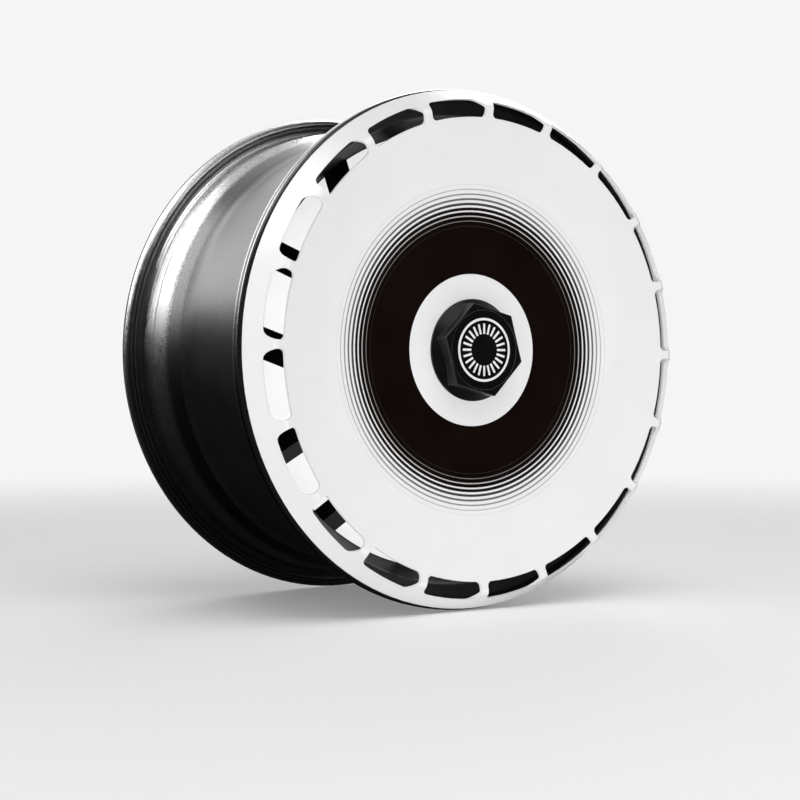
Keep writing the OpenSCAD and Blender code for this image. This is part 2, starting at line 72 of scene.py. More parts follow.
# %% [markdown]
# ## Camera
# The wheel is seen from its front left, almost level with its axis, through a longish lens. A long
# lens keeps the circles close to true ellipses, which is how products are usually pictured. The
# camera is turned by giving it its right, up and backward directions as the columns of a matrix.

# %% Camera
CAMERA_PLACE = (-1.01770, -1.49765, -0.03055)
LENS_MM = 78.32
forward = Vector((0.552997, 0.833108, -0.010999)).normalized()
right = Vector((0.83316, -0.55303, 0.0)).normalized()
upward = right.cross(forward)
camera_data = bpy.data.cameras.new("wheel_camera")
camera_data.sensor_width = 36.0
camera_data.lens = LENS_MM
camera_data.clip_start = 0.05
camera_data.clip_end = 60.0
camera = bpy.data.objects.new("wheel_camera", camera_data)
bpy.context.scene.collection.objects.link(camera)
camera.matrix_world = Matrix.Translation(CAMERA_PLACE) @ Matrix((
    (right.x, upward.x, -forward.x, 0),
    (right.y, upward.y, -forward.y, 0),
    (right.z, upward.z, -forward.z, 0),
    (0, 0, 0, 1)))
bpy.context.scene.camera = camera
print("camera looks along", [round(v, 3) for v in forward])

# %% [markdown]
# ## Small helpers for node trees
# A finish is a tree of nodes. Adding a node, setting its sockets and linking them is always the same
# work, so helpers do it. A value is either a plain number or colour, which is typed into the socket,
# or the output of another node, which is linked to it.

# %% Node helpers
def fill(tree, socket, value):
    """Links a socket to another node's output, or types a plain value into it."""
    if isinstance(value, bpy.types.NodeSocket):
        tree.links.new(value, socket)
    else:
        socket.default_value = value


def add_node(tree, kind, sockets=None, **settings):
    """Adds one node, sets its settings, and fills its sockets."""
    node = tree.nodes.new(kind)
    for name, value in settings.items():
        setattr(node, name, value)
    for key, value in (sockets or {}).items():
        fill(tree, node.inputs[key], value)
    return node


def sums(tree, operation, *values):
    """One Math node, and its output."""
    node = add_node(tree, "ShaderNodeMath", dict(enumerate(values)), operation=operation)
    return node.outputs[0]


def product(tree, first, *others):
    """Multiplies masks, so that only what lies in all of them is left."""
    for other in others:
        first = sums(tree, "MULTIPLY", first, other)
    return first


def plus(tree, base, mask, weight):
    """Adds a mask to a value, times a weight that may be negative."""
    return sums(tree, "MULTIPLY_ADD", mask, weight, base)


print("helpers: fill, add_node, sums, product, plus")

# %% [markdown]
# ## Masks and colours
# Most masks say where a treatment starts along a radius, a depth or a slope. A Map Range node turns
# such a measure into 0 on one side and 1 on the other, with a soft step between. Two steps back to
# back make a band. A mask then blends two colours in a Mix node.

# %% Mask and colour helpers
def ramp(tree, value, low, high, out_low=0.0, out_high=1.0, smooth=True):
    """Turns a value between low and high into one between out_low and out_high."""
    node = add_node(tree, "ShaderNodeMapRange", {
        "Value": value, "From Min": low, "From Max": high, "To Min": out_low, "To Max": out_high},
        clamp=True, interpolation_type="SMOOTHSTEP" if smooth else "LINEAR")
    return node.outputs["Result"]


def between(tree, value, start, full, ending, gone):
    """A band: it rises from start to full, and falls from ending to gone."""
    return product(tree, ramp(tree, value, start, full), ramp(tree, value, gone, ending))


def mix_colour(tree, amount, first, second):
    """Blends two colours by a mask."""
    node = add_node(tree, "ShaderNodeMix", {0: amount, 6: first, 7: second},
                    data_type="RGBA", blend_type="MIX")
    return node.outputs[2]


def grey(level, blue=0.0):
    """A grey that may lean a little to blue, or to yellow where blue is negative."""
    return (level, level, level + blue, 1)


print("helpers: ramp, between, mix_colour, grey")

# %% [markdown]
# ## A helper for node groups
# An effect that several finishes share is a node group: it is built once, has named inputs and
# outputs, and each finish gives it its own values. In Blender 4.5 a group's sockets are made on its
# interface. The helper returns the group with its input and output nodes.

# %% Group helper
def start_group(name, inputs, outputs):
    """A node group with float inputs (name: default) and outputs (name: socket type)."""
    group = bpy.data.node_groups.new(name, "ShaderNodeTree")
    for title, value in inputs.items():
        socket = group.interface.new_socket(title, in_out="INPUT", socket_type="NodeSocketFloat")
        socket.default_value = value
    for title, kind in outputs.items():
        group.interface.new_socket(title, in_out="OUTPUT", socket_type=kind)
    return group, add_node(group, "NodeGroupInput"), add_node(group, "NodeGroupOutput")


def use_group(tree, name, **values):
    """Places a group in a material and sets its inputs. Underscores in a name stand for spaces."""
    node = add_node(tree, "ShaderNodeGroup", node_tree=bpy.data.node_groups[name])
    for title, value in values.items():
        fill(tree, node.inputs[title.replace("_", " ")], value)
    return node


print("helpers: start_group, use_group")

# %% [markdown]
# ## Shared effect 1: where a point is on the wheel
# Most finishes on a wheel follow its axis: lathe marks run round it, and paint changes at a radius.
# The object coordinate of a CAD solid is its place in metres, so the radius is the length of (x, z),
# and the depth is y. The group also gives which way the surface faces: to the front, up, and outward
# from the axis, each 1 where it does so squarely and -1 where it faces the other way.

# %% Group: place on the wheel
group, taken, given = start_group("wheel_place", {}, {
    "Radius": "NodeSocketFloat", "Depth": "NodeSocketFloat",
    "Facing Front": "NodeSocketFloat", "Facing Up": "NodeSocketFloat",
    "Facing Out": "NodeSocketFloat", "Position": "NodeSocketVector"})
coordinate = add_node(group, "ShaderNodeTexCoord")
x, y, z = add_node(group, "ShaderNodeSeparateXYZ", {0: coordinate.outputs["Object"]}).outputs
lean_x, lean_y, lean_z = add_node(group, "ShaderNodeSeparateXYZ", {
    0: coordinate.outputs["Normal"]}).outputs
radius = sums(group, "SQRT", sums(group, "ADD", product(group, x, x), product(group, z, z)))
along_radius = plus(group, product(group, lean_x, x), lean_z, z)
facing_out = sums(group, "DIVIDE", along_radius, sums(group, "MAXIMUM", radius, 0.001))
for title, value in (("Radius", radius), ("Depth", y), ("Facing Up", lean_z),
                     ("Facing Front", product(group, lean_y, -1.0)), ("Facing Out", facing_out),
                     ("Position", coordinate.outputs["Object"])):
    group.links.new(value, given.inputs[title])
print("group wheel_place:", [s.name for s in group.interface.items_tree])

# %% [markdown]
# ## Shared effect 2: orange peel
# Sprayed paint and powder coat never dry quite flat. They keep a soft ripple of about 1.5 mm, which
# is called orange peel, with a finer tooth on top. Two noises of different size make a height; the
# finish feeds it to a Bump node. `Size` is the ripple's width in metres. A third, broad noise is the
# mottle: slow clouds along which a coat's shade and gloss drift.

# %% Group: orange peel
TOOTH_FINENESS = 6.0
CLOUD_SCALE = 17.0
group, taken, given = start_group("orange_peel", {"Size": 0.0015, "Tooth": 0.3}, {
    "Height": "NodeSocketFloat", "Mottle": "NodeSocketFloat"})
coordinate = add_node(group, "ShaderNodeTexCoord")
density = sums(group, "DIVIDE", 1.0, taken.outputs["Size"])
ripple = add_node(group, "ShaderNodeTexNoise", {
    "Vector": coordinate.outputs["Object"], "Scale": density, "Detail": 1.5, "Roughness": 0.45})
tooth = add_node(group, "ShaderNodeTexNoise", {
    "Vector": coordinate.outputs["Object"],
    "Scale": product(group, density, TOOTH_FINENESS), "Detail": 1.0})
cloud = add_node(group, "ShaderNodeTexNoise", {
    "Vector": coordinate.outputs["Object"], "Scale": CLOUD_SCALE, "Detail": 3.0,
    "Roughness": 0.6})
height = plus(group, ripple.outputs[0], tooth.outputs[0], taken.outputs["Tooth"])
group.links.new(height, given.inputs["Height"])
group.links.new(cloud.outputs[0], given.inputs["Mottle"])
print("group orange_peel: a ripple, a finer tooth, and broad clouds of shade")

# %% [markdown]
# ## Shared effect 3: turned marks
# A lathe tool leaves rings round the axis. Their height is a wave of the radius on a face, and of
# the depth on a cylinder; adding the two covers both and cones too. A little noise along the way
# breaks the rings as a real tool does. `Pitch` is the distance between rings in metres, and `Break`
# is how uneven they are.

# %% Group: turned marks
WANDER_TURNS = 2.0
STREAKS_PER_TURN = 0.37
WAVE_SHARE = 0.3
group, taken, given = start_group("turned_marks", {"Pitch": 0.0005, "Break": 0.25}, {
    "Height": "NodeSocketFloat", "Shade": "NodeSocketFloat"})
place = use_group(group, "wheel_place")
along = sums(group, "ADD", place.outputs["Radius"], place.outputs["Depth"])
wander = add_node(group, "ShaderNodeTexNoise", {
    "Vector": place.outputs["Position"], "Scale": 60.0, "Detail": 2.0})
turns = sums(group, "DIVIDE", along, taken.outputs["Pitch"])
turns = plus(group, turns, wander.outputs[0], WANDER_TURNS)
wave = sums(group, "SINE", product(group, turns, 2 * math.pi))
streak = add_node(group, "ShaderNodeTexNoise", {
    "Scale": 1.0, "Detail": 4.0, "Roughness": 0.7, "W": product(group, turns, STREAKS_PER_TURN)},
    noise_dimensions="1D")
uneven = product(group, streak.outputs[0], taken.outputs["Break"])
group.links.new(plus(group, uneven, wave, WAVE_SHARE), given.inputs["Height"])
group.links.new(streak.outputs[0], given.inputs["Shade"])
print("group turned_marks: rings with uneven depth")

# %% [markdown]
# ## Shared effect 4: soft edges and edge wear
# No real edge is sharp: even a machined one is broken by a few tenths of a millimetre and catches a
# line of light. The Bevel node bends the normal near an edge, which gives that line without more
# mesh. The amount by which it bends the normal also marks the edges, so the same group tells a finish
# where paint thins and metal polishes, and where a thin highlight is painted on. `Width` is the
# edge's radius in metres.

# %% Group: soft edges
group, taken, given = start_group("soft_edges", {"Width": 0.0005}, {
    "Normal": "NodeSocketVector", "Edge": "NodeSocketFloat"})
bevel = add_node(group, "ShaderNodeBevel", {"Radius": taken.outputs["Width"]}, samples=4)
plain = add_node(group, "ShaderNodeNewGeometry")
agree = add_node(group, "ShaderNodeVectorMath", {
    0: bevel.outputs[0], 1: plain.outputs["Normal"]}, operation="DOT_PRODUCT")
group.links.new(bevel.outputs[0], given.inputs["Normal"])
group.links.new(ramp(group, agree.outputs["Value"], 0.985, 0.80), given.inputs["Edge"])
print("group soft_edges: a bent normal and a mask of the edges")

# %% [markdown]
# ## Shared effect 5: settled dust
# Fine dust lies on what faces up. It is a mask: how far the surface faces up, broken by noise.
# Finishes use it very lightly, to lift the colour and to dull the gloss. `Amount` is how much of the
# mask is left, and `Grain` is the size of the dust's patches in metres.

# %% Group: dust
group, taken, given = start_group("settled_dust", {"Amount": 0.1, "Grain": 0.004}, {
    "Mask": "NodeSocketFloat"})
place = use_group(group, "wheel_place")
speck = add_node(group, "ShaderNodeTexNoise", {
    "Vector": place.outputs["Position"],
    "Scale": sums(group, "DIVIDE", 1.0, taken.outputs["Grain"]), "Detail": 6.0,
    "Roughness": 0.7})
lying = ramp(group, place.outputs["Facing Up"], 0.1, 0.95)
broken = ramp(group, speck.outputs[0], 0.35, 0.7)
group.links.new(product(group, lying, broken, taken.outputs["Amount"]), given.inputs["Mask"])
print("group settled_dust: what faces up, broken by noise")

# %% [markdown]
# ## Starting and ending a finish
# Each finish is one material with one Principled shader. What is the same all over the surface, such
# as the index of refraction, is typed into the shader's own socket. What changes over the surface,
# such as colour, roughness and the normal, is linked from nodes. Coats drift between two shades, and
# between two degrees of gloss, along the same broad clouds.

# %% Finish helpers
finishes = {}
CLOUD_RANGE = (0.3, 0.7)


def start_finish(name, **sockets):
    """A new material; sockets sets the fixed values of its Principled shader."""
    material = bpy.data.materials.new(name)
    material.use_nodes = True
    tree = material.node_tree
    tree.nodes.clear()
    shader = add_node(tree, "ShaderNodeBsdfPrincipled")
    for title, value in sockets.items():
        shader.inputs[title.replace("_", " ")].default_value = value
    add_node(tree, "ShaderNodeOutputMaterial", {"Surface": shader.outputs[0]})
    finishes[name] = material
    return tree, shader


def end_finish(tree, shader, colour, roughness, height, distance, normal=None):
    """Links the colour and the roughness, and raises the surface by a height in a Bump node."""
    tree.links.new(colour, shader.inputs["Base Color"])
    tree.links.new(roughness, shader.inputs["Roughness"])
    bump = add_node(tree, "ShaderNodeBump", {
        "Strength": 1.0, "Distance": distance, "Height": height})
    if normal is not None:
        tree.links.new(normal, bump.inputs["Normal"])
    tree.links.new(bump.outputs[0], shader.inputs["Normal"])


def cloud_mask(tree, peel, low=0.0, high=1.0):
    """A value that drifts between low and high along the clouds of an orange_peel group."""
    return ramp(tree, peel.outputs["Mottle"], *CLOUD_RANGE, low, high, smooth=False)


print("helpers: start_finish, end_finish, cloud_mask")

# %% [markdown]
# ## Wheel paint: the white faces
# The casting is painted a near-black satin all over, and the faces of the spokes are white. On the
# real wheel the white is sprayed after the rest is masked. Here a mask picks what faces the front,
# lies near the height of the spokes' faces and is inside the barrel. One material holds both
# colours, because they are two coats on one casting.

# %% Wheel paint: mask of the white faces
tree, shader = start_finish("wheel_paint", IOR=1.5)
place = use_group(tree, "wheel_place")
radius = place.outputs["Radius"]
depth = place.outputs["Depth"]
facing_front = place.outputs["Facing Front"]
facing_out = place.outputs["Facing Out"]
white_mask = product(
    tree, ramp(tree, facing_front, 0.90, 0.97),
    ramp(tree, radius, BARREL_INSIDE_RADIUS - 0.0006, BARREL_INSIDE_RADIUS - 0.0012),
    ramp(tree, depth, SPOKE_FACE_Y + 0.016, SPOKE_FACE_Y + 0.014))
print("white where the casting faces the front, up to 14 mm behind the spokes' faces")

# %% [markdown]
# ## Wheel paint: the turned seats
# A tyre needs true seats, so both bead seats and the flanks of the flanges are turned bare. The dark
# coat is sprayed on the barrel between them and thins out over the rear seat, so its end is ragged:
# noise moves the depth at which bare metal starts. A film too thin to hide the metal reaches further,
# which is the overspray. The very edge of the rear flange is painted matt and near black, as the dark
# line of shade along the wheel's outline.

# %% Wheel paint: masks of the turned seats
RAGGED_REACH = 0.016
OVERSPRAY = 0.09
flake = add_node(tree, "ShaderNodeTexNoise", {
    "Vector": place.outputs["Position"], "Scale": 620.0, "Detail": 2.5})
tyre_side = product(tree, ramp(tree, radius, TYRE_SIDE_RADIUS, TYRE_SIDE_RADIUS + 0.001),
                    ramp(tree, facing_out, -0.35, -0.1))
ragged_depth = plus(tree, depth, flake.outputs[0], RAGGED_REACH)
bare = ramp(tree, ragged_depth, REAR_SEAT_Y - 0.001, REAR_SEAT_Y + 0.016)
thin_coat = ramp(tree, ragged_depth, REAR_SEAT_Y - 0.022, REAR_SEAT_Y - 0.002, 0.0, OVERSPRAY)
rear_seat = product(tree, sums(tree, "MAXIMUM", product(tree, bare, bare), thin_coat),
                    ramp(tree, depth, REAR_EDGE_Y + 0.0008, REAR_EDGE_Y))
front_seat = between(tree, depth, FRONT_LIP_Y, FRONT_LIP_Y + 0.0008,
                     FRONT_SEAT_Y - 0.0006, FRONT_SEAT_Y)
turned = product(tree, tyre_side, sums(tree, "ADD", rear_seat, front_seat))
# Painted shade: the rear flange's very edge, for a dark outline.
rear_edge_shade = product(tree, tyre_side, ramp(tree, depth, REAR_EDGE_Y, REAR_EDGE_Y + 0.0008))
print("turned seats: behind y =", REAR_SEAT_Y, "and in front of y =", FRONT_SEAT_Y)

# %% [markdown]
# ## Wheel paint: the dark coat
# The coat lies on a cast skin, so it is grainy as well as cloudy. Inside, where the wheel faces its
# own axis near the front, the coat is painted near black as shade, and so is the very edge of the
# rear flange, as a dark outline.

# %% Wheel paint: shades of the dark coat
GRAIN_SHARE = 0.6
peel = use_group(tree, "orange_peel", Size=0.0017, Tooth=0.22)
clouds = cloud_mask(tree, peel)
grainy = plus(tree, product(tree, clouds, 1.0 - GRAIN_SHARE),
              ramp(tree, flake.outputs[0], 0.3, 0.7), GRAIN_SHARE)
# Painted shade: the mask is 1 where the casting faces the axis or sideways, near the front of the
# barrel.
painted_shade_inside = product(tree, ramp(tree, facing_out, 0.5, 0.2), ramp(tree, depth, 0.004, -0.016))
dark = mix_colour(tree, grainy, grey(0.022, 0.001), grey(0.052, 0.001))
# Painted shade: the inside near the front and the rear flange's very edge are mixed to near black.
dark = mix_colour(tree, sums(tree, "MAXIMUM", painted_shade_inside, rear_edge_shade), dark, grey(0.010, 0.0002))
print("dark coat: grain and clouds, deeper inside the front half")

# %% [markdown]
# ## Wheel paint: bare metal
# The turned seats are bright streaks round the axis. The flank of the rear flange faces the front and
# is cut across, so its streaks are stronger. The front flange is mixed half way to a dark grey, and a
# thin band next to the lip is painted darker still as a line of shade.

# %% Wheel paint: shades of the turned metal
marks = use_group(tree, "turned_marks", Pitch=0.0009, Break=0.9)
streaks = ramp(tree, marks.outputs["Shade"], 0.38, 0.62)
seat = mix_colour(tree, streaks, grey(0.36, 0.005), grey(0.52, 0.01))
flank = mix_colour(tree, streaks, grey(0.10, 0.002), grey(0.45, 0.005))
lathed = mix_colour(tree, ramp(tree, facing_front, 0.35, 0.75), seat, flank)
lip = ramp(tree, depth, FRONT_FLANGE_Y, FRONT_FLANGE_Y - 0.002)
# Painted shade: a thin dark band round the front flange, next to the lip.
painted_shade_band = between(tree, depth, FRONT_LIP_Y + 0.0012, FRONT_LIP_Y + 0.0018,
                 FRONT_LIP_Y + 0.0056, FRONT_LIP_Y + 0.0062)
lathed = mix_colour(tree, product(tree, lip, 0.5), lathed, grey(0.06))
lathed = mix_colour(tree, product(tree, lip, painted_shade_band), lathed, grey(0.045, 0.001))
print("turned metal: seats 0.36 to 0.52, rear flank 0.10 to 0.45")

# %% [markdown]
# ## Wheel paint: all together
# The masks lay the coats over each other in the order of the real work: dark coat, turning, white
# faces, then a lighter grey on the edges, which is partly wear and partly a painted highlight. The
# dark coat holds metal flakes, so it is mostly metallic, the white and the painted dark edge are not.
# The crest of the rear hump is a long soft bend, which gets a wider rounding than the other edges,
# and so a wider band of that lighter grey.

# %% Wheel paint: colour, gloss and relief
COAT_METAL = 0.85
EDGE_WIDTH = 0.0006
HUMP_WIDTH = 0.004
EDGE_WEAR_AND_HIGHLIGHT = 0.06
hump_start, hump_end = REAR_HUMP_Y
hump = product(tree, between(tree, depth, hump_start, hump_start + 0.006,
                             hump_end - 0.004, hump_end), ramp(tree, facing_out, 0.5, 0.7))
edges = use_group(tree, "soft_edges", Width=plus(tree, EDGE_WIDTH, hump, HUMP_WIDTH))
dust = use_group(tree, "settled_dust", Amount=0.012, Grain=0.003)
dark = mix_colour(tree, turned, dark, lathed)
dark = mix_colour(tree, dust.outputs["Mask"], dark, (0.35, 0.34, 0.32, 1))
white = mix_colour(tree, clouds, grey(0.84, 0.01), grey(0.88, 0.005))
both = mix_colour(tree, white_mask, dark, white)
# Partly wear, partly painted highlight: the edges are mixed a little towards grey.
worn_and_highlit = mix_colour(tree, product(tree, edges.outputs["Edge"], EDGE_WEAR_AND_HIGHLIGHT), both, grey(0.3))
metal = ramp(tree, turned, 0.0, 0.05, COAT_METAL, 1.0)
metal = plus(tree, metal, white_mask, -COAT_METAL)
metal = plus(tree, metal, rear_edge_shade, -COAT_METAL)
tree.links.new(metal, shader.inputs["Metallic"])
satin = plus(tree, cloud_mask(tree, peel, 0.31, 0.36), turned, -0.07)
satin = plus(tree, satin, white_mask, 0.12)
satin = plus(tree, satin, rear_edge_shade, 0.6)
satin = plus(tree, satin, product(tree, painted_shade_inside, sums(tree, "SUBTRACT", 1.0, turned)), 0.10)
satin = plus(tree, satin, dust.outputs["Mask"], 2.0)
relief = plus(tree, peel.outputs["Height"], flake.outputs[0], 7.0)
relief = plus(tree, relief, product(tree, turned, marks.outputs["Height"]), 9.0)
end_finish(tree, shader, worn_and_highlit, satin, relief, 0.000012, edges.outputs["Normal"])
print("wheel_paint: near-black satin, white faces, turned seats")

# %% [markdown]
# ## Disc paint
# The disc is spun from aluminium sheet and powder-coated satin white. Spinning leaves very faint
# broad rings under the paint, and the coat has its own orange peel. The edges of the windows are
# rounded where the coat flows over them. The first gaps between the printed rings are so narrow that
# the ink spreads into them, so a mask tints the disc from the wide ring's edge outward.

# %% Finish: disc paint
BAND_END_RADIUS = 0.1224
GAPS_CLEAR_RADIUS = 0.1385
INK_THICK = (0.0076, 0.0038, 0.0028, 1)
tree, shader = start_finish("disc_paint", IOR=1.45)
place = use_group(tree, "wheel_place")
peel = use_group(tree, "orange_peel", Size=0.0014, Tooth=0.25)
spun = use_group(tree, "turned_marks", Pitch=0.0065, Break=0.5)
edges = use_group(tree, "soft_edges", Width=0.0008)
dust = use_group(tree, "settled_dust", Amount=0.05, Grain=0.004)
coat = mix_colour(tree, cloud_mask(tree, peel), grey(0.868, 0.004), grey(0.892, 0.002))
coat = mix_colour(tree, dust.outputs["Mask"], coat, (0.60, 0.59, 0.56, 1))
coat = mix_colour(tree, product(tree, edges.outputs["Edge"], 0.10), coat, grey(0.72, 0.01))
spread = product(
    tree, ramp(tree, place.outputs["Radius"], GAPS_CLEAR_RADIUS, BAND_END_RADIUS, smooth=False),
    ramp(tree, place.outputs["Radius"], BAND_END_RADIUS - 0.010, BAND_END_RADIUS - 0.008),
    ramp(tree, place.outputs["Facing Front"], 0.3, 0.6))
coat = mix_colour(tree, spread, coat, INK_THICK)
relief = plus(tree, peel.outputs["Height"], spun.outputs["Shade"], 0.5)
end_finish(tree, shader, coat, cloud_mask(tree, peel, 0.34, 0.40), relief, 0.00001,
           edges.outputs["Normal"])
print("disc_paint: satin white powder coat")

# %% [markdown]
# ## Print on the disc
# The wide ring and the thin rings are screen-printed in a warm black, a few hundredths of a
# millimetre thick. Ink dries matter than paint and shows the mesh of the screen as a faint tooth.
# The rings grow thinner outwards, and a thin line of ink also covers less, so a mask of the radius
# lets the white show through more and more.

# %% Finish: print on the disc
INK_FULL_RADIUS = 0.1375
INK_THIN_RADIUS = 0.1637
SHOW_THROUGH = 0.86
tree, shader = start_finish("print_black", IOR=1.2)
tooth = use_group(tree, "orange_peel", Size=0.0006, Tooth=0.6)
dust = use_group(tree, "settled_dust", Amount=0.02, Grain=0.002)
place = use_group(tree, "wheel_place")
ink = mix_colour(tree, cloud_mask(tree, tooth), (0.0052, 0.0024, 0.0017, 1), INK_THICK)
ink = mix_colour(tree, dust.outputs["Mask"], ink, (0.30, 0.29, 0.27, 1))
outward = ramp(tree, place.outputs["Radius"], INK_FULL_RADIUS, INK_THIN_RADIUS, smooth=False)
ink = mix_colour(tree, product(tree, outward, outward, SHOW_THROUGH), ink, grey(0.86, 0.005))
end_finish(tree, shader, ink, cloud_mask(tree, tooth, 0.42, 0.5), tooth.outputs["Height"],
           0.000006)
print("print_black: matt ink, thinner outwards")

# %% [markdown]
# ## Print on the cap
# The cap's ring and strokes are printed in white by the same process, on a smaller screen.

# %% Finish: print on the cap
tree, shader = start_finish("print_white", IOR=1.45)
tooth = use_group(tree, "orange_peel", Size=0.0005, Tooth=0.6)
ink = mix_colour(tree, cloud_mask(tree, tooth), grey(0.82, 0.01), grey(0.88))
end_finish(tree, shader, ink, cloud_mask(tree, tooth, 0.35, 0.42), tooth.outputs["Height"],
           0.000005)
print("print_white: matt white ink")

# %% [markdown]
# ## Rubber
# The seal round the disc, the gasket under the post and the ring on the post's thread are black
# rubber. Moulded rubber is matt and has a fine grain, and its edges are mixed a little towards grey.

# %% Finish: seal rubber
tree, shader = start_finish("seal_rubber", IOR=1.3)
grain = use_group(tree, "orange_peel", Size=0.0009, Tooth=0.9)
edges = use_group(tree, "soft_edges", Width=0.0005)
rubber = mix_colour(tree, cloud_mask(tree, grain), grey(0.0085), (0.013, 0.0128, 0.0125, 1))
rubber = mix_colour(tree, product(tree, edges.outputs["Edge"], 0.08), rubber, grey(0.12))
end_finish(tree, shader, rubber, cloud_mask(tree, grain, 0.62, 0.72), grain.outputs["Height"],
           0.00004, edges.outputs["Normal"])
print("seal_rubber: matt, fine grain")

# %% [markdown]
# ## Turned and ground metals
# The post and the ring that clamps it are turned aluminium and stay bare. Their roughness changes
# from ring to ring, which spreads a lamp's reflection across the marks. The pins and the wire ring
# are ground steel, with a finer pitch. Both use the same two groups with other values.

# %% Finish: bare metals
BARE_METALS = (
    ("turned_aluminium", (0.60, 0.61, 0.63), 0.0006, 0.26),
    ("bright_steel", (0.52, 0.52, 0.54), 0.00025, 0.2))
for name, tint, pitch, smoothest in BARE_METALS:
    tree, shader = start_finish(name, Metallic=1.0)
    marks = use_group(tree, "turned_marks", Pitch=pitch, Break=0.6)
    edges = use_group(tree, "soft_edges", Width=0.0004)
    valley = (*[0.86 * v for v in tint], 1)
    polished = (*[1.2 * v for v in tint], 1)
    tone = mix_colour(tree, marks.outputs["Shade"], valley, (*tint, 1))
    tone = mix_colour(tree, edges.outputs["Edge"], tone, polished)
    gloss = ramp(tree, marks.outputs["Shade"], 0.3, 0.7, smoothest, smoothest + 0.12)
    end_finish(tree, shader, tone, gloss, marks.outputs["Height"], 0.00001,
               edges.outputs["Normal"])
print("turned_aluminium, bright_steel: bare metal with lathe marks")

# %% [markdown]
# ## Blackened steel
# The clamp screws are blackened. The oxide is dark and semi-matt, and wears to steel on the edges of
# the sockets where the key bears.

# %% Finish: blackened screws
tree, shader = start_finish("black_steel")
grain = use_group(tree, "orange_peel", Size=0.0008, Tooth=0.8)
edges = use_group(tree, "soft_edges", Width=0.0003)
bare = product(tree, edges.outputs["Edge"], 0.5)
oxide = mix_colour(tree, cloud_mask(tree, grain), grey(0.018, 0.001), (0.032, 0.031, 0.032, 1))
oxide = mix_colour(tree, bare, oxide, (0.4, 0.39, 0.38, 1))
tree.links.new(plus(tree, 0.35, bare, 0.5), shader.inputs["Metallic"])
end_finish(tree, shader, oxide, ramp(tree, grain.outputs["Mottle"], 0.3, 0.7, 0.34, 0.46),
           grain.outputs["Height"], 0.00001, edges.outputs["Normal"])
print("black_steel: oxide, worn at the edges")

# %% [markdown]
# ## Washer plastic
# The seat behind the disc and the washer under the nut are a milky nylon. A little light passes
# through such plastic, which softens its shade, so the shader gets a small subsurface weight.

# %% Finish: washers
tree, shader = start_finish("washer_plastic", IOR=1.5, Subsurface_Weight=0.15,
                            Subsurface_Scale=0.002)
grain = use_group(tree, "orange_peel", Size=0.0011, Tooth=0.5)
edges = use_group(tree, "soft_edges", Width=0.0004)
nylon = mix_colour(tree, cloud_mask(tree, grain), grey(0.80, -0.01), grey(0.86, -0.01))
end_finish(tree, shader, nylon, ramp(tree, grain.outputs["Mottle"], 0.3, 0.7, 0.42, 0.52),
           grain.outputs["Height"], 0.00001, edges.outputs["Normal"])
print("washer_plastic: milky nylon")

# %% [markdown]
# ## Anodised nut
# The nut is turned and milled from aluminium and anodised black. Anodising keeps the tool marks, so
# they stay as a faint sheen on its cone and face. A thin bright line is painted along its milled
# corners as a highlight. The oxide is clear over a layer of dye, so the shader stays dielectric.

# %% Finish: centre nut
tree, shader = start_finish("nut_black", IOR=1.3)
marks = use_group(tree, "turned_marks", Pitch=0.00045, Break=0.5)
grain = use_group(tree, "orange_peel", Size=0.0008, Tooth=0.7)
edges = use_group(tree, "soft_edges", Width=0.0007)
dust = use_group(tree, "settled_dust", Amount=0.015, Grain=0.002)
nut_tone = mix_colour(tree, marks.outputs["Shade"], grey(0.0035, 0.0002),
                  (0.0065, 0.0064, 0.0066, 1))
# Painted highlight: the edges are mixed half way to a light grey.
nut_tone = mix_colour(tree, product(tree, edges.outputs["Edge"], 0.5), nut_tone, grey(0.45, 0.01))
nut_tone = mix_colour(tree, dust.outputs["Mask"], nut_tone, (0.35, 0.34, 0.32, 1))
relief = plus(tree, grain.outputs["Height"], marks.outputs["Height"], 0.4)
end_finish(tree, shader, nut_tone, ramp(tree, marks.outputs["Shade"], 0.3, 0.7, 0.30, 0.38), relief,
           0.000008, edges.outputs["Normal"])
print("nut_black: anodised over turned marks")

# %% [markdown]
# ## Gloss cap
# The round cap in the nut is moulded in gloss black plastic. Its colour is nearly nothing; what is
# seen is the room in it, so it needs a low roughness with faint hairlines from wiping, and only a
# trace of ripple. The hairlines are a noise that is stretched far more along one side.

# %% Finish: gloss cap
tree, shader = start_finish("cap_gloss", IOR=1.49)
peel = use_group(tree, "orange_peel", Size=0.004, Tooth=0.02)
edges = use_group(tree, "soft_edges", Width=0.0006)
coordinate = add_node(tree, "ShaderNodeTexCoord")
wipe = add_node(tree, "ShaderNodeMapping", {
    "Vector": coordinate.outputs["Object"], "Rotation": (0.0, 0.6, 0.0), "Scale": (900, 200, 40)})
hair = add_node(tree, "ShaderNodeTexNoise", {
    "Vector": wipe.outputs[0], "Scale": 1.0, "Detail": 3.0})
black = mix_colour(tree, peel.outputs["Mottle"], grey(0.0035, 0.0002), grey(0.006, 0.0002))
end_finish(tree, shader, black, ramp(tree, hair.outputs[0], 0.45, 0.75, 0.05, 0.12),
           peel.outputs["Height"], 0.000004, edges.outputs["Normal"])
print("cap_gloss: smooth black with hairlines")

# %% [markdown]
# ## Putting the finishes on
# The record says which finish each solid takes, so the loop reads it from there and every solid gets
# exactly one material. Nothing is left in the grey that the model comes in.

# %% Give every solid its finish
slot_of = {part["node"]: part["material_slot"] for part in frame["record"]["subparts"]}
for name, solid in solids.items():
    solid.data.materials.clear()
    solid.data.materials.append(finishes[slot_of[name]])
    print(f"{name}: {slot_of[name]}, {len(solid.data.polygons)} faces")

# %% [markdown]
# ## Floor
# The wheel stands on a plain pale floor, which takes its shadow. Far from the wheel the floor fades
# into the pale background, so no horizon cuts the picture. The fade is a mask of the distance from
# the wheel, and it mixes the painted floor with a clear shader, through which the background shows.

